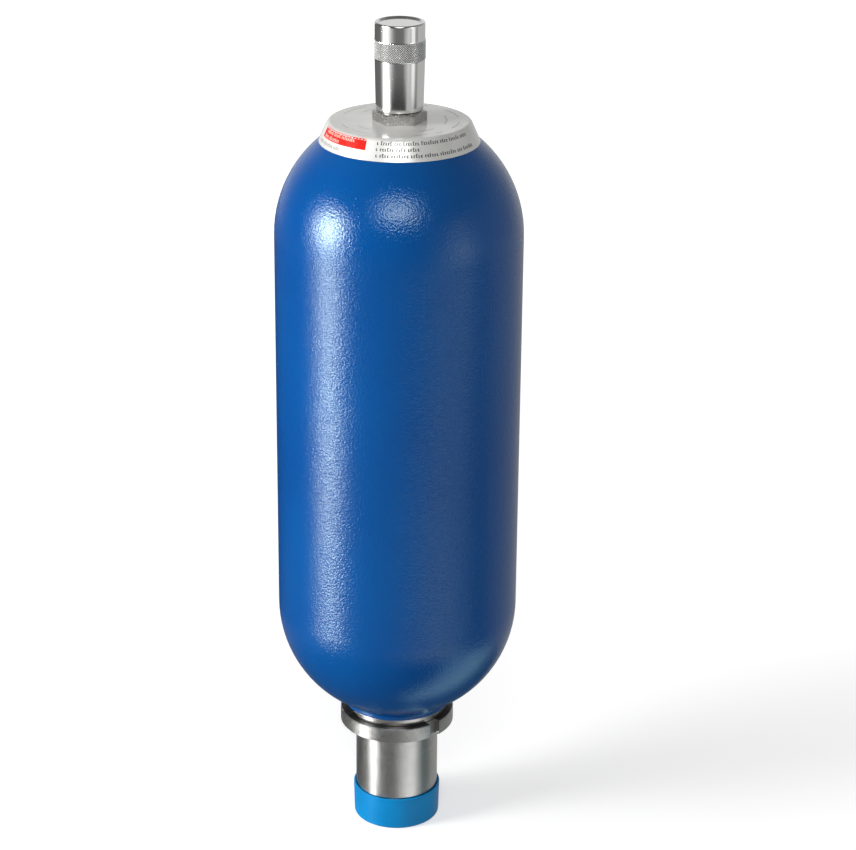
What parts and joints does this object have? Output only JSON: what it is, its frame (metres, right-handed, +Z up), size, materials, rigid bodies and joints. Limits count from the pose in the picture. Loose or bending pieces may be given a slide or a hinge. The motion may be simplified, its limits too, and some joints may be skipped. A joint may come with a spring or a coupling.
{
  "type": "bladder accumulator",
  "caption": "Tall round-ended pressure vessel with a flexible bag inside, a capped gas valve on top and a capped threaded fluid port with a sprung poppet below.",
  "frame": {"origin": "centre of the underside of the port cap, which the accumulator stands on", "axes": "+Z up along the shell's axis; the lock nut's two spanner slots face -Y and +Y"},
  "size_m": [0.1683, 0.1682, 0.5874],
  "materials": {
    "shell_paint": "gloss paint with a fine orange-peel texture",
    "turned_steel": "turned, with fine rings",
    "nut_steel": "satin, zinc plated",
    "plain_steel": "satin",
    "spring_steel": "oiled spring wire",
    "black_rubber": "matte",
    "white_plastic": "smooth",
    "bronze": "satin bronze",
    "valve_brass": "bright",
    "plate_metal": "glossy clear coat over printed metal",
    "cap_plastic": "semi-gloss moulded plastic",
    "cap_chrome": "bright plating with a knurled band"
  },
  "bodies": {
    "accumulator": {"shell": "shell_paint", "port_body": "turned_steel", "anti_extrusion_ring": "black_rubber", "flat_washer": "plain_steel", "port_o_ring": "black_rubber", "support_ring": "white_plastic", "spacer_ring": "turned_steel", "lock_nut": "nut_steel", "bleed_seal": "black_rubber", "bleed_screw": "plain_steel", "poppet_spring": "spring_steel", "bladder_stem": "plain_steel", "bladder": "black_rubber", "valve_core_body": "valve_brass", "valve_core_spring": "spring_steel", "seal_cap": "plain_steel", "seal_cap_o_ring": "black_rubber", "stem_nut": "nut_steel", "name_plate": "plate_metal"},
    "poppet": {"poppet": "turned_steel", "damping_bush": "bronze", "poppet_nut": "plain_steel"},
    "valve_pin": {"valve_core_pin": "valve_brass", "valve_core_seal": "black_rubber"},
    "port_cap": {"port_cap": "cap_plastic"},
    "protective_cap": {"protective_cap": "cap_chrome"}
  },
  "joints": [
    {"name": "poppet_close", "type": "slide", "parent": "accumulator", "child": "poppet", "axis": [0, 0, -1], "range_m": [0, 0.012], "stiffness_N_per_m": 1500, "springref_m": -0.01, "deforming": ["poppet_spring"]},
    {"name": "valve_pin_press", "type": "slide", "parent": "accumulator", "child": "valve_pin", "axis": [0, 0, -1], "range_m": [0, 0.0015], "stiffness_N_per_m": 1500, "springref_m": -0.002, "deforming": ["valve_core_spring"]},
    {"name": "port_cap_pull", "type": "slide", "parent": "accumulator", "child": "port_cap", "axis": [0, 0, -1], "range_m": [0, 0.07]},
    {"name": "protective_cap_lift", "type": "slide", "parent": "accumulator", "child": "protective_cap", "axis": [0, 0, 1], "range_m": [0, 0.07]}
  ]
}
